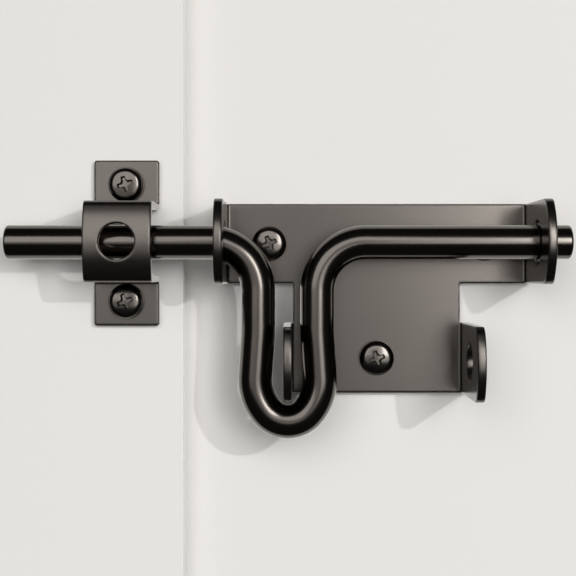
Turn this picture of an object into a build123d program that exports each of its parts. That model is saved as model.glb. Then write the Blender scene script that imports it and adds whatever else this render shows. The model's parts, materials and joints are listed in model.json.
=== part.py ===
"""Sliding gate bolt: a folded bracket, a bent bar with a U handle, a folded keeper and their screws.

Millimetres. X runs along the bar, +Z is up and the front faces -Y. The origin is the middle of
the bracket's back face, at the height of the bar's axis, so the wall plane is Y = 0.
"""
import os
from math import cos, hypot, radians, sin, sqrt

from build123d import *

# Sheet and bar stock
sheet = 3.0
fold_r = 0.5
edge_r = 0.4
bar_d = 12.0
bar_end_r = 1.0

# Bracket: a wide plate with an ear at each end, and a tab below it with a lug on each side
axis_out = 20.0
ear_gap = 110.0
ear_w = 29.4
ear_tip = 18.0
ear_arc_r = 21.2
ear_clear = 1.6
lug_w = 26.0
lug_tip = 17.4
lug_arc_r = 24.0
lug_hole_d = 13.0
lug_drop = 42.2
flange_corner_r = 4.2

# Bolt: its left shoulder starts inside the ear's hole, and the handle hangs astride the left lug
# Each leg drops straight, leans out by leg_flare degrees, and rounds into the loop over a wider haunch
bar_left_out = 73.8
bar_right_out = 8.6
shoulder_in_r = 11.0
shoulder_clear = 0.3
leg_flare = 3.7
flare_r = 60.0
flare_run = 13.3
haunch_in_r = 11.7
loop_in_r = 3.5
loop_turn = 100
loop_clear = 0.3

# Keeper: a bridge over the bar, on a frame that stands keeper_step in front of the wall plane
keeper_step = 9.0
keeper_gap = 21.5
keeper_w = 23.5
strap = 2.2
keeper_side_clear = 5.95
keeper_front_clear = 4.8
keeper_crown = 3.0
keeper_foot_l = 15.85
keeper_foot_r = 1.0
keeper_hole_d = 12.4

# Screws: a low dome with a rolled rim, and a cross recess
head_d = 12.7
head_h = 4.6
dome_r = 14.0
rim_r = 1.7
head_clear = 0.1
shank_d = 6.0
shank_clear = 0.3
neck_d = 5.2
screw_l = 30.0
point_l = 7.0
recess_w = 5.5
recess_slot = 1.3
recess_depth = 2.2
recess_draft = 8
plate_screw_inset = 15.4
plate_screw_turns = (22, -12, 20)
keeper_screw_turns = (21, 18)

# Places that follow from the sizes above
axis_y = -(sheet + axis_out)
ear_out = ear_gap / 2 + sheet
bar_left = -(ear_out + bar_left_out)
bar_right = ear_out + bar_right_out
bar_r = bar_d / 2
ear_hole_d = bar_d + 2 * ear_clear
screw_hole_d = shank_d + 2 * shank_clear

# Bolt path: the shoulder's inner side keeps clear of the ear's hole, and the loop of the lug's far corner
shoulder_r = shoulder_in_r + bar_r
haunch_r = haunch_in_r + bar_r
loop_r = loop_in_r + bar_r
shoulder_sink = ear_clear - shoulder_clear
bend_start = -ear_gap / 2 - sqrt(shoulder_sink * (2 * shoulder_in_r - shoulder_sink))
lug_corner_half = lug_w / 2 - flange_corner_r
lug_corner_out = lug_tip - lug_arc_r + sqrt((lug_arc_r - flange_corner_r) ** 2 - lug_corner_half**2)
lug_reach = hypot(lug_drop + lug_corner_half, lug_corner_out) + flange_corner_r
loop_rise = loop_in_r - sqrt(loop_in_r**2 - (sheet / 2) ** 2)
loop_bottom = -(lug_reach + loop_clear + loop_rise + bar_r)
flare_s = sin(radians(leg_flare))
flare_c = cos(radians(leg_flare))
loop_s = sin(radians(loop_turn / 2))
loop_c = cos(radians(loop_turn / 2))
haunch_turn = 90 + leg_flare - loop_turn / 2
haunch_out = loop_r * loop_s + haunch_r * (flare_c - loop_s)
haunch_up = loop_r * (1 - loop_c) + haunch_r * (loop_c + flare_s)
neck_half = haunch_out - flare_run * flare_s - flare_r * (1 - flare_c)
leg_drop = -(loop_bottom + haunch_up + flare_run * flare_c + flare_r * flare_s + shoulder_r)
handle_x = bend_start + shoulder_r + neck_half

# Lugs stand at the middle of the handle's two places, bolted and drawn back
lug_gap = -2 * handle_x - sheet
tab_w = lug_gap - 2 * fold_r
plate_screw_x = ear_gap / 2 - plate_screw_inset
plate_screw_spots = [(-plate_screw_x, 0), (plate_screw_x, 0), (0, -lug_drop)]

# Height at which the screw's dome would meet its side
dome_foot = dome_r - head_h - sqrt(dome_r**2 - (head_d / 2) ** 2)

# Keeper outline
keeper_x = -(ear_out + keeper_gap + keeper_w / 2)
keeper_front = -(keeper_step + strap)
bridge_half = bar_r + keeper_side_clear + strap
bridge_front = axis_y - bar_r - keeper_front_clear - strap
bridge_corner = bridge_front + keeper_crown
foot_end = bridge_half + keeper_foot_l
keeper_screw_z = bridge_half + fold_r + head_clear + head_d / 2
keeper_screw_spots = [(keeper_x, -keeper_screw_z), (keeper_x, keeper_screw_z)]


def folded_channel(gap, width, z_mid, tip_out, arc_r, hole_d):
    """A strip folded up at both ends; each flange has a bowed front and a hole as far out as the bar."""
    tip = tip_out - axis_y
    with BuildPart() as channel:
        with BuildSketch(Plane.XY.offset(z_mid - width / 2)):
            with BuildLine():
                FilletPolyline(
                    (-gap / 2, -tip),
                    (-gap / 2, -sheet),
                    (gap / 2, -sheet),
                    (gap / 2, -tip),
                    radius=fold_r,
                )
                offset(amount=sheet, side=Side.LEFT)
            make_face()
        extrude(amount=width)
        with BuildSketch(Plane.YZ) as outline:
            with Locations((arc_r - tip, z_mid)):
                Circle(arc_r)
                Rectangle(tip - arc_r, 2 * arc_r, align=(Align.MIN, Align.CENTER))
            with Locations((0, z_mid)):
                Rectangle(tip, width, align=(Align.MAX, Align.CENTER), mode=Mode.INTERSECT)
            fillet(outline.vertices().sort_by(Axis.X)[:2], flange_corner_r)
            with Locations((axis_y, z_mid)):
                Circle(hole_d / 2, mode=Mode.SUBTRACT)
        extrude(amount=gap, both=True, mode=Mode.INTERSECT)
        fillet(channel.edges().filter_by(Axis.X), edge_r)
    return channel.part


def pan_screw(turn):
    """A pan-head screw along +Y, seated at the origin, with its cross recess turned by some degrees."""
    with BuildPart() as screw:
        with BuildSketch(Plane.XY) as profile:
            with BuildLine():
                Polyline(
                    (0, -head_h),
                    (0, screw_l),
                    (shank_d / 2, screw_l - point_l),
                    (shank_d / 2, sheet),
                    (neck_d / 2, sheet),
                    (neck_d / 2, 0),
                    (head_d / 2, 0),
                    (head_d / 2, dome_foot),
                )
                RadiusArc((head_d / 2, dome_foot), (0, -head_h), dome_r)
            make_face()
            fillet(profile.vertices().group_by(Axis.X)[-1].sort_by(Axis.Y)[0], rim_r)
        revolve(axis=Axis.Y)
        for quarter in (0, 90):
            with BuildSketch(Plane.XZ.offset(head_h)):
                with Locations(Rotation(0, 0, turn + quarter)):
                    Rectangle(recess_w, recess_slot)
            extrude(amount=-recess_depth, taper=recess_draft, mode=Mode.SUBTRACT)
    return screw.part


os.makedirs("parts", exist_ok=True)

with BuildPart() as bracket:
    add(folded_channel(ear_gap, ear_w, 0, ear_tip, ear_arc_r, ear_hole_d))
    add(folded_channel(lug_gap, lug_w, -lug_drop, lug_tip, lug_arc_r, lug_hole_d))
    with BuildSketch(Plane.XZ):
        Rectangle(tab_w, lug_drop, align=(Align.CENTER, Align.MAX))
    extrude(amount=sheet)
    with BuildSketch(Plane.XZ):
        with Locations(*plate_screw_spots):
            Circle(screw_hole_d / 2)
    extrude(amount=sheet, mode=Mode.SUBTRACT)
bracket.part.label = "bracket"
export_step(bracket.part, "parts/bracket.step")

with BuildPart() as bolt:
    with BuildLine(Plane.XZ.offset(-axis_y)):
        left_run = Line((bar_left, 0), (bend_start, 0))
        left_bend = JernArc(left_run @ 1, left_run % 1, shoulder_r, -90)
        left_leg = Line(left_bend @ 1, left_bend @ 1 + (left_bend % 1) * leg_drop)
        left_flare = JernArc(left_leg @ 1, left_leg % 1, flare_r, -leg_flare)
        left_lean = Line(left_flare @ 1, left_flare @ 1 + (left_flare % 1) * flare_run)
        left_haunch = JernArc(left_lean @ 1, left_lean % 1, haunch_r, haunch_turn)
        loop = JernArc(left_haunch @ 1, left_haunch % 1, loop_r, loop_turn)
        right_haunch = JernArc(loop @ 1, loop % 1, haunch_r, haunch_turn)
        right_lean = Line(right_haunch @ 1, right_haunch @ 1 + (right_haunch % 1) * flare_run)
        right_flare = JernArc(right_lean @ 1, right_lean % 1, flare_r, -leg_flare)
        right_leg = Line(right_flare @ 1, right_flare @ 1 + (right_flare % 1) * leg_drop)
        right_bend = JernArc(right_leg @ 1, right_leg % 1, shoulder_r, -90)
        Line(right_bend @ 1, (bar_right, 0))
    with BuildSketch(Plane((bar_left, axis_y, 0), z_dir=(1, 0, 0))):
        Circle(bar_r)
    sweep()
    fillet(bolt.faces().filter_by(GeomType.PLANE).edges(), bar_end_r)
bolt.part.label = "bolt"
export_step(bolt.part, "parts/bolt.step")

with BuildPart() as keeper:
    with BuildSketch(Plane.YZ.offset(keeper_x - keeper_w / 2)):
        with BuildLine() as outline:
            Polyline((keeper_front, -foot_end), (keeper_front, -bridge_half), (bridge_corner, -bridge_half))
            ThreePointArc((bridge_corner, -bridge_half), (bridge_front, 0), (bridge_corner, bridge_half))
            Polyline((bridge_corner, bridge_half), (keeper_front, bridge_half), (keeper_front, foot_end))
            fillet(outline.vertices().group_by(Axis.X)[0], fold_r + strap)
            fillet(outline.vertices().group_by(Axis.X)[-1], fold_r)
            offset(amount=strap, side=Side.RIGHT)
        make_face()
    extrude(amount=keeper_w)
    with BuildSketch(Plane.XZ.offset(keeper_step)):
        with Locations(*keeper_screw_spots):
            Circle(screw_hole_d / 2)
    extrude(amount=strap, mode=Mode.SUBTRACT)
    with BuildSketch(Plane.XZ.offset(-axis_y)):
        with Locations((keeper_x, 0)):
            Circle(keeper_hole_d / 2)
    extrude(amount=axis_y - bridge_front, mode=Mode.SUBTRACT)
    foot_corners = keeper.edges().filter_by(Axis.Y).group_by(Axis.Z)
    fillet(foot_corners[0] + foot_corners[-1], keeper_foot_r)
    fillet(keeper.edges().filter_by(Axis.Z), edge_r)
    fillet(keeper.edges().sort_by_distance((keeper_x, bridge_front, 0))[0], edge_r)
keeper.part.label = "keeper"
export_step(keeper.part, "parts/keeper.step")

with BuildPart() as bracket_screws:
    for (x, z), turn in zip(plate_screw_spots, plate_screw_turns):
        with Locations((x, -sheet, z)):
            add(pan_screw(turn))
bracket_screws.part.label = "bracket_screws"
export_step(bracket_screws.part, "parts/bracket_screws.step")

with BuildPart() as keeper_screws:
    for (x, z), turn in zip(keeper_screw_spots, keeper_screw_turns):
        with Locations((x, keeper_front, z)):
            add(pan_screw(turn))
keeper_screws.part.label = "keeper_screws"
export_step(keeper_screws.part, "parts/keeper_screws.step")
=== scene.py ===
# %% [markdown]
# # A sliding gate bolt, dressed for its picture
# The bolt is a folded steel bracket, a round bar bent into a U handle, a folded keeper and the screws that
# hold them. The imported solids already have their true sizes, so they are loaded first and never moved: all
# that is made here is measured from them, in metres, with the front facing -Y and the wall plane at Y = 0.

# %% Load the solids
import json
from math import asin, cos, pi, radians, sin, sqrt

import bmesh
import bpy
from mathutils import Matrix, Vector


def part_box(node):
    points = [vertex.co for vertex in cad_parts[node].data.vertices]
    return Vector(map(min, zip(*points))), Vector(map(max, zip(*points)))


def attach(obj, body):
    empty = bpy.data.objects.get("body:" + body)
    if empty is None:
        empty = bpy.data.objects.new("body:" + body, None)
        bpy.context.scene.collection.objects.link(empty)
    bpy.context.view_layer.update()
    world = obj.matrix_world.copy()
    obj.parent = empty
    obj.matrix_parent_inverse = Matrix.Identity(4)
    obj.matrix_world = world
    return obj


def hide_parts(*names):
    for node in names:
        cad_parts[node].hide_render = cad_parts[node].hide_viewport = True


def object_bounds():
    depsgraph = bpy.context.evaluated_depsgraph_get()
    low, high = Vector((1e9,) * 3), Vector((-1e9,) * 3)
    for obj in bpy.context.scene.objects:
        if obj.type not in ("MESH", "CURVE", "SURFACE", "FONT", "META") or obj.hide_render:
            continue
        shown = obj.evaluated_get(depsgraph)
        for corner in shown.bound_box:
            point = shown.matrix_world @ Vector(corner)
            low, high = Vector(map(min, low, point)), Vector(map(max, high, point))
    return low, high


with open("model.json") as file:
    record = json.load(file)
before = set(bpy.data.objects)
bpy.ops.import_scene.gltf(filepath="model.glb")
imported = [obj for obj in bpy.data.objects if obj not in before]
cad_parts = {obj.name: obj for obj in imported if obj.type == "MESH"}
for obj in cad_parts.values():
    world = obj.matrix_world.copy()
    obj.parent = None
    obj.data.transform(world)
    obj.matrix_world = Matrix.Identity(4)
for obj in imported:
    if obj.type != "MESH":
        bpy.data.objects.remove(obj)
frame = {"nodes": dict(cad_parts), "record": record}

solid_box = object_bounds()
MM = 0.001
solid_size = [round(s / MM, 1) for s in solid_box[1] - solid_box[0]]
print("nodes:", sorted(frame["nodes"]), "size in mm:", solid_size)

# %% [markdown]
# ## The camera
# The picture was taken square to the wall, from about 40 cm, so the camera looks straight along +Y. The lens
# and the place come from the pixels of edges whose real places are known. The small upward shift frames the
# bolt a little above the middle without tilting the camera, which would make upright edges lean.

# %% Set the camera
PHOTO_PX = 576
camera_spot = Vector((-32.1, -410.6, -11.1)) * MM
focal_px = 1101.2
axis_px = (289.7, 273.7)

camera_data = bpy.data.cameras.new("photo camera")
camera_data.lens = camera_data.sensor_width * focal_px / PHOTO_PX
camera_data.shift_x = (PHOTO_PX / 2 - axis_px[0]) / PHOTO_PX
camera_data.shift_y = (axis_px[1] - PHOTO_PX / 2) / PHOTO_PX
camera_data.clip_start = 10 * MM
camera = bpy.data.objects.new("photo camera", camera_data)
camera.location = camera_spot
camera.rotation_euler = (pi / 2, 0, 0)
bpy.context.scene.collection.objects.link(camera)
bpy.context.scene.camera = camera
bpy.context.scene.view_settings.view_transform = "Standard"
print("lens in mm:", round(camera_data.lens, 1))

# %% [markdown]
# ## Two small helpers
# Colours are written as sRGB hex, as a colour picker shows them, but shaders work in linear light, so one
# function turns the one into the other. Another adds a node to any tree, with its settings and its inputs.

# %% Colour and node helpers


def linear(hex_colour):
    """An sRGB hex colour as linear RGBA."""
    shares = [int(hex_colour[i:i + 2], 16) / 255 for i in (1, 3, 5)]
    return [s / 12.92 if s <= 0.04045 else ((s + 0.055) / 1.055) ** 2.4 for s in shares] + [1]


def add_node(tree, kind, inputs=None, **settings):
    """Adds a node; an input is given as a value or as another node's output."""
    node = tree.nodes.new(kind)
    for key, value in settings.items():
        setattr(node, key, value)
    for key, value in (inputs or {}).items():
        if isinstance(value, bpy.types.NodeSocket):
            tree.links.new(value, node.inputs[key])
        else:
            node.inputs[key].default_value = value
    return node


print("mid grey in linear light:", round(linear("#808080")[0], 3))

# %% [markdown]
# ## Gunmetal plating
# Every piece has the same dark finish, a black-nickel plate over steel. It is a metal, so all its light is
# mirrored light, tinted a warm grey, and the plating over a tumbled blank leaves it satin: a lamp becomes a
# soft patch, and the wall a pale line along each edge. The sheet is the most matt, so that lamps off to one
# side still grey it, and the drawn bar and the screws are glossier. Three faint variations keep the plate
# from looking drawn: clouds of slightly different tone, a grain of roughness, and a very shallow orange peel.
# Tumbling also rolls the cut edges of the sheet over. Their narrow round faces are in the solids, and a Bevel
# node bends the shading round them over a millimetre or so, which gives light and dark lines at each edge.

# %% Make the plated finishes
peel_depth = 0.0006 * MM


def gunmetal_plate(name, tones, roughness, cloud_mm, grain_mm, roll_mm):
    """Black-nickel plated steel with tone clouds, a grain of roughness, orange peel and rolled edges."""
    material = bpy.data.materials.new(name)
    material.use_nodes = True
    tree = material.node_tree
    tree.nodes.clear()
    place = add_node(tree, "ShaderNodeTexCoord").outputs["Object"]
    cloud_scale = 1 / (cloud_mm * MM)
    clouds = add_node(tree, "ShaderNodeTexNoise", {"Vector": place, "Scale": cloud_scale, "Detail": 3.0})
    tone = add_node(
        tree,
        "ShaderNodeMix",
        {"Factor": clouds.outputs["Fac"], "A": linear(tones[0]), "B": linear(tones[1])},
        data_type="RGBA",
    )
    grain_scale = 1 / (grain_mm * MM)
    grain = add_node(tree, "ShaderNodeTexNoise", {"Vector": place, "Scale": grain_scale, "Detail": 2.0})
    satin = add_node(
        tree,
        "ShaderNodeMapRange",
        {"Value": grain.outputs["Fac"], "To Min": roughness[0], "To Max": roughness[1]},
    )
    rolled = add_node(tree, "ShaderNodeBevel", {"Radius": roll_mm * MM}, samples=8)
    peel = add_node(
        tree,
        "ShaderNodeBump",
        {
            "Height": grain.outputs["Fac"],
            "Strength": 1.0,
            "Distance": peel_depth,
            "Normal": rolled.outputs["Normal"],
        },
    )
    shader = add_node(
        tree,
        "ShaderNodeBsdfPrincipled",
        {
            "Base Color": tone.outputs["Result"],
            "Metallic": 1.0,
            "Roughness": satin.outputs["Result"],
            "Normal": peel.outputs["Normal"],
        },
    )
    add_node(tree, "ShaderNodeOutputMaterial", {"Surface": shader.outputs["BSDF"]})
    return material


sheet_finish = gunmetal_plate(
    "Black nickel plated steel sheet",
    tones=("#625d59", "#69645f"),
    roughness=(0.22, 0.27),
    cloud_mm=30,
    grain_mm=1.5,
    roll_mm=1.3,
)
# The bar's ends and the screw heads are rounded in their shapes, so nothing is rolled there
bar_finish = gunmetal_plate(
    "Black nickel plated drawn bar",
    tones=("#5f5a56", "#66615c"),
    roughness=(0.16, 0.20),
    cloud_mm=30,
    grain_mm=1.2,
    roll_mm=0,
)
screw_finish = gunmetal_plate(
    "Black nickel plated screw",
    tones=("#625d59", "#69645f"),
    roughness=(0.15, 0.19),
    cloud_mm=8,
    grain_mm=0.8,
    roll_mm=0,
)
for node_name in ("bracket", "keeper"):
    frame["nodes"][node_name].data.materials[0] = sheet_finish
print("finishes:", [m.name for m in (sheet_finish, bar_finish, screw_finish)])

# %% [markdown]
# ## The bent bar
# The bolt is one 12 mm bar: straight, a shoulder down, a leg that drops and then leans out a little, a wide
# haunch that tightens into the loop, and the same back up. A chain of straight runs and tangent bends is what
# a bar bender works from, so the path is walked that way, and Geometry Nodes sweep a circle along it. The
# circle shrinks over the last millimetre at each end, which gives the broken edge of a sawn bar. A sweep with
# many sides has a cleaner gloss than the solid's facets would.

# %% Walk the path of the bar
bar_low, bar_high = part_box("bolt")
bar_radius = bar_high.z
bar_depth = (bar_low.y + bar_high.y) / 2
shoulder_radius = 17.0 * MM
shoulder_start = -60.1875 * MM
leg_flare = radians(3.7)
flare_radius = 60.0 * MM
flare_run = 13.3 * MM
haunch_radius = 17.7 * MM
loop_radius = 9.5 * MM
loop_turn = radians(100)
end_rounding = 1.0 * MM
run_margin = 0.5 * MM
BEND_STEPS = 40
END_STEPS = 10

loop_bottom = bar_low.z + bar_radius
haunch_turn = pi / 2 + leg_flare - loop_turn / 2
loop_rise = loop_radius * (1 - cos(loop_turn / 2)) + haunch_radius * (cos(loop_turn / 2) + sin(leg_flare))
flare_drop = flare_radius * sin(leg_flare) + flare_run * cos(leg_flare)
leg_drop = -(shoulder_radius + flare_drop + loop_rise + loop_bottom)


def walk(place, moves):
    """Points along runs (length,) and bends (radius, turn), upright, a turn to the left being positive."""
    heading = 0.0
    points = [place]
    for move in moves:
        if len(move) == 2:
            radius, turn = move
            strides = [2 * radius * sin(abs(turn) / BEND_STEPS / 2)] * BEND_STEPS
        else:
            turn = 0
            # A short step at both ends of a run keeps the smooth shading of the bends out of it
            long_run = move[0] > 4 * run_margin
            strides = [run_margin, move[0] - 2 * run_margin, run_margin] if long_run else [move[0]]
        for stride in strides:
            heading += turn / len(strides) / 2
            points.append(points[-1] + stride * Vector((cos(heading), 0, sin(heading))))
            heading += turn / len(strides) / 2
    return points


end_angles = [pi / 2 * step / END_STEPS for step in range(END_STEPS + 1)]
end_runs = [(end_rounding * (cos(near) - cos(far)),) for near, far in zip(end_angles, end_angles[1:])]
bar_start = Vector((bar_low.x, bar_depth, 0))
first_run = (shoulder_start - bar_low.x - end_rounding,)
shoulder = (shoulder_radius, -pi / 2)
leg = [(leg_drop,), (flare_radius, -leg_flare), (flare_run,), (haunch_radius, haunch_turn)]
handle = [first_run, shoulder, *leg, (loop_radius, loop_turn), *reversed(leg), shoulder]
bar_line = walk(bar_start, end_runs + handle)
last_run = (bar_high.x - bar_line[-1].x - end_rounding,)
bar_line += walk(bar_line[-1], [last_run, *reversed(end_runs)])[1:]
lowest = min(spot.z for spot in bar_line)
print("bar path:", len(bar_line), "points, lowest axis point in mm:", round(lowest / MM, 2))

# %% [markdown]
# ### Sweep it with nodes
# The tree has named inputs, so another bar only needs other numbers. A modifier's inputs are set through the
# identifiers of their sockets. At the end the result is copied into a plain mesh, with its place in the mesh.

# %% Sweep the bar
BAR_SIDES = 96


def new_tree(name, sockets):
    """An empty node tree with a geometry in and out, and the named inputs."""
    tree = bpy.data.node_groups.new(name, "GeometryNodeTree")
    tree.interface.new_socket("Geometry", in_out="INPUT", socket_type="NodeSocketGeometry")
    for label, kind in sockets.items():
        tree.interface.new_socket(label, in_out="INPUT", socket_type=kind)
    tree.interface.new_socket("Geometry", in_out="OUTPUT", socket_type="NodeSocketGeometry")
    return tree


def run_tree(source, tree, values, name):
    """Runs the tree on the source object and returns its result as a plain mesh object."""
    bpy.context.scene.collection.objects.link(source)
    modifier = source.modifiers.new(tree.name, "NODES")
    modifier.node_group = tree
    for socket in tree.interface.items_tree:
        if socket.in_out == "INPUT" and socket.name in values:
            modifier[socket.identifier] = values[socket.name]
    evaluated = source.evaluated_get(bpy.context.evaluated_depsgraph_get())
    mesh = bpy.data.meshes.new_from_object(evaluated)
    source.modifiers.remove(modifier)
    bpy.data.objects.remove(source)
    mesh.name = name
    piece = bpy.data.objects.new(name, mesh)
    bpy.context.scene.collection.objects.link(piece)
    return piece


sweep = new_tree(
    "bar sweep",
    {
        "Radius": "NodeSocketFloat",
        "End rounding": "NodeSocketFloat",
        "Sides": "NodeSocketInt",
        "Finish": "NodeSocketMaterial",
    },
)
given = add_node(sweep, "NodeGroupInput").outputs
rounding = given["End rounding"]
along = add_node(sweep, "GeometryNodeSplineParameter").outputs["Length"]
whole = add_node(sweep, "GeometryNodeSplineLength").outputs["Length"]
to_end = add_node(sweep, "ShaderNodeMath", {0: whole, 1: along}, operation="SUBTRACT").outputs[0]
nearest = add_node(sweep, "ShaderNodeMath", {0: along, 1: to_end}, operation="MINIMUM").outputs[0]
short = add_node(sweep, "ShaderNodeMath", {0: rounding, 1: nearest}, operation="SUBTRACT").outputs[0]
short = add_node(sweep, "ShaderNodeMath", {0: short, 1: 0.0}, operation="MAXIMUM").outputs[0]
# The rim of the end is a quarter circle, so its rise is the root of rounding squared less short squared
short_square = add_node(sweep, "ShaderNodeMath", {0: short, 1: 2.0}, operation="POWER").outputs[0]
full_square = add_node(sweep, "ShaderNodeMath", {0: rounding, 1: 2.0}, operation="POWER").outputs[0]
squares = {0: full_square, 1: short_square}
rise_square = add_node(sweep, "ShaderNodeMath", squares, operation="SUBTRACT").outputs[0]
rise = add_node(sweep, "ShaderNodeMath", {0: rise_square}, operation="SQRT").outputs[0]
radii = {0: given["Radius"], 1: rounding}
flat_end = add_node(sweep, "ShaderNodeMath", radii, operation="SUBTRACT").outputs[0]
girth = add_node(sweep, "ShaderNodeMath", {0: flat_end, 1: rise}, operation="ADD").outputs[0]
circle = add_node(sweep, "GeometryNodeCurvePrimitiveCircle", {"Resolution": given["Sides"], "Radius": 1.0})
tube = add_node(
    sweep,
    "GeometryNodeCurveToMesh",
    {
        "Curve": given["Geometry"],
        "Profile Curve": circle.outputs["Curve"],
        "Scale": girth,
        "Fill Caps": True,
    },
)
rounded = add_node(sweep, "GeometryNodeSetShadeSmooth", {"Geometry": tube.outputs["Mesh"]})
real = add_node(sweep, "GeometryNodeRealizeInstances", {"Geometry": rounded.outputs["Geometry"]})
plated = add_node(
    sweep,
    "GeometryNodeSetMaterial",
    {"Geometry": real.outputs["Geometry"], "Material": given["Finish"]},
)
add_node(sweep, "NodeGroupOutput", {"Geometry": plated.outputs["Geometry"]})

bar_curve = bpy.data.curves.new("bar path", "CURVE")
bar_curve.dimensions = "3D"
spline = bar_curve.splines.new("POLY")
spline.points.add(len(bar_line) - 1)
for point, spot in zip(spline.points, bar_line):
    point.co = (*spot, 1)
bar = run_tree(
    bpy.data.objects.new("bar path", bar_curve),
    sweep,
    {"Radius": bar_radius, "End rounding": end_rounding, "Sides": BAR_SIDES, "Finish": bar_finish},
    "bent_bar",
)
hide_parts("bolt")
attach(bar, "sliding_bar")
print("bent bar:", len(bar.data.polygons), "faces")

# %% [markdown]
# ## The screws
# They are pan-head wood screws: a low dome with a rolled rim, a cross recess, and a coarse thread that runs
# out into a point. One screw is made as a lathe grid whose radius follows the helix of the thread, because a
# thread is only a radius that depends on the angle and the depth. The recess is cut with a tapered cross, as
# the punch does it. Geometry Nodes then set a copy at each hole.

# %% Lathe one screw
head_radius = 6.35 * MM
head_height = 4.6 * MM
dome_radius = 23.0 * MM
rim_radius = 2.5 * MM
seat_chamfer = 0.2 * MM
neck_radius = 2.6 * MM
neck_length = 3.0 * MM
root_radius = 2.1 * MM
crest_radius = 3.0 * MM
screw_length = 30.0 * MM
point_length = 7.0 * MM
thread_pitch = 2.2 * MM
crest_share = 0.3
LATHE_SIDES = 64
DOME_RINGS = 14
RIM_RINGS = 10
RINGS_PER_PITCH = 12


def head_rings():
    """(depth, radius) down the dome, round the rim, down the side and in under the head to the neck."""
    rim_centre = head_radius - rim_radius
    dome_centre_y = dome_radius - head_height
    rim_centre_y = dome_centre_y - sqrt((dome_radius - rim_radius) ** 2 - rim_centre**2)
    tilt = asin(rim_centre / (dome_radius - rim_radius))
    angles = [tilt * (step + 1) / DOME_RINGS for step in range(DOME_RINGS)]
    rings = [(dome_centre_y - dome_radius * cos(a), dome_radius * sin(a)) for a in angles]
    angles = [tilt + (pi / 2 - tilt) * (step + 1) / RIM_RINGS for step in range(RIM_RINGS)]
    rings += [(rim_centre_y - rim_radius * cos(a), rim_centre + rim_radius * sin(a)) for a in angles]
    rings += [(-seat_chamfer, head_radius), (0, head_radius - seat_chamfer)]
    return rings + [(0, neck_radius), (neck_length, neck_radius)]


def thread_radius(depth, angle):
    """The root of the shank plus the ridge of the thread, both narrowing along the point."""
    narrowing = min(1, (screw_length - depth) / point_length)
    run_in = min(1, (depth - neck_length) / thread_pitch)
    phase = (depth / thread_pitch - angle / (2 * pi)) % 1
    ridge = max(0, 1 - abs(phase - 0.5) / crest_share)
    return narrowing * (root_radius + (crest_radius - root_radius) * run_in * ridge)


def lathe_screw():
    """A closed screw along +Y, seated at the origin."""
    shape = bmesh.new()
    around = [2 * pi * side / LATHE_SIDES for side in range(LATHE_SIDES)]
    rings = [[(depth, radius, a) for a in around] for depth, radius in head_rings()]
    step = thread_pitch / RINGS_PER_PITCH
    count = int((screw_length - neck_length) / step)
    for depth in [neck_length + step * ring for ring in range(count)]:
        rings.append([(depth, thread_radius(depth, a), a) for a in around])
    loops = [[shape.verts.new((r * sin(a), y, r * cos(a))) for y, r, a in ring] for ring in rings]
    for near, far in zip(loops, loops[1:]):
        for side in range(LATHE_SIDES):
            after = (side + 1) % LATHE_SIDES
            shape.faces.new((near[side], near[after], far[after], far[side]))
    for pole_y, loop in ((-head_height, loops[0]), (screw_length, loops[-1])):
        pole = shape.verts.new((0, pole_y, 0))
        for side in range(LATHE_SIDES):
            shape.faces.new((pole, loop[side], loop[(side + 1) % LATHE_SIDES]))
    bmesh.ops.recalc_face_normals(shape, faces=shape.faces)
    mesh = bpy.data.meshes.new("screw")
    shape.to_mesh(mesh)
    shape.free()
    return bpy.data.objects.new("screw", mesh)


screw = lathe_screw()
print("lathed screw:", len(screw.data.polygons), "faces")

# %% [markdown]
# ### Punch the recess
# The punch is a cross with steep tapered wings and a wider core, and its end is domed like the head. A
# Boolean takes it out of the head, which leaves a floor as light as the dome, and dark narrow walls round it.

# %% Cut the cross recess
recess_depth = 1.5 * MM
punch_lift = 0.6 * MM
smooth_angle = radians(35)
# Half sizes of the cross in mm, at the top of the dome and at the floor
recess_top = {"wing": 2.9, "wing_half": 0.78, "waist": 1.55, "waist_half": 0.9, "core": 1.15}
recess_floor = {"wing": 2.4, "wing_half": 0.38, "waist": 1.15, "waist_half": 0.5, "core": 0.75}


def cross_outline(depth):
    """The corners of the cross at a depth below the dome, as (x, y, z)."""
    share = depth / recess_depth
    size = {key: (1 - share) * MM * recess_top[key] + share * MM * recess_floor[key] for key in recess_top}
    wing = [
        (size["waist"], -size["waist_half"]),
        (size["wing"], -size["wing_half"]),
        (size["wing"], size["wing_half"]),
        (size["waist"], size["waist_half"]),
        (size["core"], size["core"]),
    ]
    turns = [(cos(pi / 2 * quarter), sin(pi / 2 * quarter)) for quarter in range(4)]
    flat = [(u * c - v * s, u * s + v * c) for c, s in turns for u, v in wing]
    return [(x, depth - head_height + (x * x + z * z) / (2 * dome_radius), z) for x, z in flat]


def make_punch():
    """A tapered cross whose end is domed like the head."""
    shape = bmesh.new()
    top = [shape.verts.new(corner) for corner in cross_outline(-punch_lift)]
    floor = [shape.verts.new(corner) for corner in cross_outline(recess_depth)]
    middle = shape.verts.new((0, recess_depth - head_height, 0))
    shape.faces.new(top)
    for side in range(len(top)):
        after = (side + 1) % len(top)
        shape.faces.new((top[side], top[after], floor[after], floor[side]))
        shape.faces.new((floor[side], floor[after], middle))
    bmesh.ops.recalc_face_normals(shape, faces=shape.faces)
    mesh = bpy.data.meshes.new("punch")
    shape.to_mesh(mesh)
    shape.free()
    return bpy.data.objects.new("punch", mesh)


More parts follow.
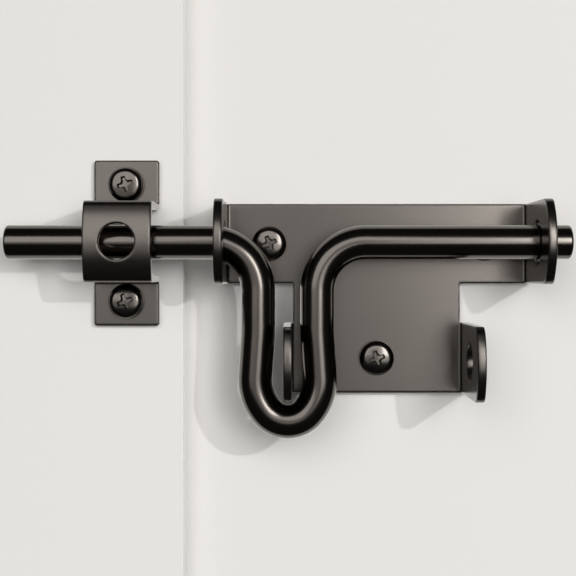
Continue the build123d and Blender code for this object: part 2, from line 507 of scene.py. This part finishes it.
punch = make_punch()
for tool in (screw, punch):
    bpy.context.scene.collection.objects.link(tool)
cut = screw.modifiers.new("recess", "BOOLEAN")
cut.operation = "DIFFERENCE"
cut.solver = "EXACT"
cut.object = punch
punched = bpy.data.meshes.new_from_object(screw.evaluated_get(bpy.context.evaluated_depsgraph_get()))
screw.modifiers.remove(cut)
screw.data = punched
bpy.data.objects.remove(punch)
punched.shade_smooth()
punched.set_sharp_from_angle(angle=smooth_angle)
print("punched screw:", len(punched.polygons), "faces")

# %% [markdown]
# ### Set the screws
# Each hole is a point that carries how far its screw is turned. The tree puts a copy of the screw on each
# point, turns it, makes the copies real and plates them.

# %% Set a screw in each hole
setting = new_tree("screw setting", {"Screw": "NodeSocketObject", "Finish": "NodeSocketMaterial"})
given = add_node(setting, "NodeGroupInput").outputs
model = add_node(setting, "GeometryNodeObjectInfo", {"Object": given["Screw"], "As Instance": True})
turn = add_node(setting, "GeometryNodeInputNamedAttribute", {"Name": "turn"}, data_type="FLOAT")
spin = add_node(setting, "ShaderNodeCombineXYZ", {"Y": turn.outputs["Attribute"]})
copies = add_node(
    setting,
    "GeometryNodeInstanceOnPoints",
    {"Points": given["Geometry"], "Instance": model.outputs["Geometry"], "Rotation": spin.outputs["Vector"]},
)
real = add_node(setting, "GeometryNodeRealizeInstances", {"Geometry": copies.outputs["Instances"]})
plated = add_node(
    setting,
    "GeometryNodeSetMaterial",
    {"Geometry": real.outputs["Geometry"], "Material": given["Finish"]},
)
add_node(setting, "NodeGroupOutput", {"Geometry": plated.outputs["Geometry"]})

mounts = {mount["name"]: mount for mount in frame["record"]["mounts"]}
upper_half = mounts["bracket_upper_screws"]["dims"]["spacing_x_mm"] / 2 * MM
lower_height = mounts["bracket_lower_screw"]["pos_m"][2]
keeper_middle = mounts["keeper_screw_pair"]["pos_m"][0]
keeper_half = mounts["keeper_screw_pair"]["dims"]["spacing_y_mm"] / 2 * MM
# The place of each hole along X and Z, and the degrees by which its screw is turned
screw_sets = {
    "bracket_screws": [(-upper_half, 0, 22), (upper_half, 0, -12), (0, lower_height, 20)],
    "keeper_screws": [(keeper_middle, -keeper_half, 21), (keeper_middle, keeper_half, 18)],
}
for node_name, holes in screw_sets.items():
    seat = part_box(node_name)[1].y - screw_length
    spots = bpy.data.meshes.new(node_name + " holes")
    spots.from_pydata([(x, seat, z) for x, z, _ in holes], [], [])
    turns = spots.attributes.new("turn", "FLOAT", "POINT")
    turns.data.foreach_set("value", [-radians(angle) for _, _, angle in holes])
    made = run_tree(
        bpy.data.objects.new(node_name + " holes", spots),
        setting,
        {"Screw": screw, "Finish": screw_finish},
        "threaded_" + node_name,
    )
    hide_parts(node_name)
    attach(made, "fixed_frame")
    print(made.name, len(made.data.polygons), "faces")
bpy.data.objects.remove(screw)

# %% [markdown]
# ## The wall
# The bolt is screwed to an upright face, so the floor of this studio stands upright: a plain pale matt sheet
# behind the bracket. The keeper's seat stands further out, so the sheet has a step under it. Seen from behind
# the sheet is clear, so the back of the bolt can be looked at too.

# %% Set up the wall
wall_gap = 0.3 * MM
wall_half = 2.0
step_edge = -71 * MM
step_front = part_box("keeper")[1].y + wall_gap

paint = bpy.data.materials.new("Matt wall paint")
paint.use_nodes = True
tree = paint.node_tree
tree.nodes.clear()
matt = add_node(tree, "ShaderNodeBsdfDiffuse", {"Color": linear("#e8e6e3"), "Roughness": 1.0})
clear = add_node(tree, "ShaderNodeBsdfTransparent")
side = add_node(tree, "ShaderNodeNewGeometry").outputs["Backfacing"]
one_sided = add_node(
    tree,
    "ShaderNodeMixShader",
    {0: side, 1: matt.outputs["BSDF"], 2: clear.outputs["BSDF"]},
)
add_node(tree, "ShaderNodeOutputMaterial", {"Surface": one_sided.outputs["Shader"]})

wall_line = [(-wall_half, step_front), (step_edge, step_front), (step_edge, wall_gap), (wall_half, wall_gap)]
low_line = [(x, y, -wall_half) for x, y in wall_line]
high_line = [(x, y, wall_half) for x, y in wall_line]
corners = len(wall_line)
panels = [(i, i + 1, i + 1 + corners, i + corners) for i in range(corners - 1)]
wall_mesh = bpy.data.meshes.new("wall")
wall_mesh.from_pydata(low_line + high_line, [], panels)
wall_mesh.materials.append(paint)
wall = bpy.data.objects.new("wall", wall_mesh)
wall.visible_glossy = False
bpy.context.scene.collection.objects.link(wall)
print("wall faces", [tuple(round(c) for c in face.normal) for face in wall_mesh.polygons])

# %% [markdown]
# ## The room
# Metal shows the room it is in, so the room matters as much as the lamps. It is dark in front, above, below
# and at the sides, which makes the bar black between its highlights, and as pale as the wall behind, which
# gives each edge its pale line. The metal mirrors this even room in place of the wall, whose shadows would
# spot it. The camera sees the air itself as white.

# %% Set up the room
room_dark = 0.025
room_pale = 0.95
# The room turns pale where a direction's share along +Y rises through these
pale_from = 0.2
pale_to = 0.3

world = bpy.data.worlds.new("studio")
world.use_nodes = True
tree = world.node_tree
tree.nodes.clear()
way = add_node(tree, "ShaderNodeTexCoord").outputs["Generated"]
back = add_node(tree, "ShaderNodeSeparateXYZ", {"Vector": way}).outputs["Y"]
tone = add_node(
    tree,
    "ShaderNodeMapRange",
    {"Value": back, "From Min": pale_from, "From Max": pale_to, "To Min": room_dark, "To Max": room_pale},
)
seen = add_node(tree, "ShaderNodeLightPath").outputs["Is Camera Ray"]
strength = add_node(tree, "ShaderNodeMath", {0: tone.outputs["Result"], 1: seen}, operation="MAXIMUM")
air = add_node(tree, "ShaderNodeBackground", {"Color": linear("#fffdfa"), "Strength": strength.outputs[0]})
add_node(tree, "ShaderNodeOutputWorld", {"Surface": air.outputs["Background"]})
bpy.context.scene.world = world
print("room:", room_dark, "in front,", room_pale, "behind")

# %% [markdown]
# ## The lamps
# Five soft boxes hang in the dark. A wide weak one greys every face that looks forwards. One to the left, one
# to the right and one above lift the bands along the bar and on the screw heads, and a bright one on the
# right gives the highlights at the bar's right end and on the heads. What a box lights depends on where the
# metal mirrors it, so each is given by the slopes that it fills, and its power by how bright it looks. A
# small key lamp to the upper right casts the shadows on the wall, and a wide fill lamp lifts them. Neither of
# the two shows in the metal, where they would blur the bands.

# %% Set up the lamps


def add_lamp(name, place, aim, size, watts, shape="RECTANGLE"):
    """An area lamp at a place, in metres, that faces another."""
    data = bpy.data.lights.new(name, "AREA")
    data.shape = shape
    data.size, data.size_y = size
    data.energy = watts
    lamp = bpy.data.objects.new(name, data)
    lamp.location = place
    lamp.rotation_euler = (Vector(aim) - Vector(place)).to_track_quat("-Z", "Y").to_euler()
    lamp.visible_camera = False
    bpy.context.scene.collection.objects.link(lamp)
    print(name, "is", round((Vector(aim) - Vector(place)).length / MM), "mm away")
    return lamp


# Slopes are sideways and upwards, as seen from the bar. No two boxes are equally far away: where two
# overlapped in one plane, the metal would mirror only one of them
soft_boxes = {
    "wide soft box": {"away": 2.4, "across": (-0.80, 0.78), "up": (-0.22, 0.66), "radiance": 0.6},
    "left soft box": {"away": 2.2, "across": (-0.80, -0.10), "up": (0.00, 0.74), "radiance": 1.3},
    "right soft box": {"away": 2.0, "across": (0.12, 0.56), "up": (-0.20, 0.52), "radiance": 1.3},
    "bright soft box": {"away": 1.8, "across": (0.29, 0.52), "up": (0.00, 0.46), "radiance": 6.8},
    "upper soft box": {"away": 2.6, "across": (-0.10, 0.12), "up": (0.22, 0.72), "radiance": 1.3},
}
for name, box in soft_boxes.items():
    away = box["away"]
    left, right = box["across"]
    low, high = box["up"]
    width = away * (right - left)
    height = away * (high - low)
    x = camera_spot.x + away * (left + right) / 2
    z = away * (low + high) / 2
    watts = box["radiance"] * pi * width * height
    add_lamp(name, (x, bar_depth - away, z), (x, 0, z), (width, height), watts)

shadow_lamps = {
    "key lamp": {"place": (0.415, -0.685, 0.2), "size": (0.02, 0.02), "watts": 1.7, "shape": "DISK"},
    "fill lamp": {"place": (0, -2.5, 0.5), "size": (3, 3), "watts": 25, "shape": "RECTANGLE"},
}
for name, lamp in shadow_lamps.items():
    shadow_lamp = add_lamp(name, aim=(0, 0, 0), **lamp)
    shadow_lamp.visible_glossy = False
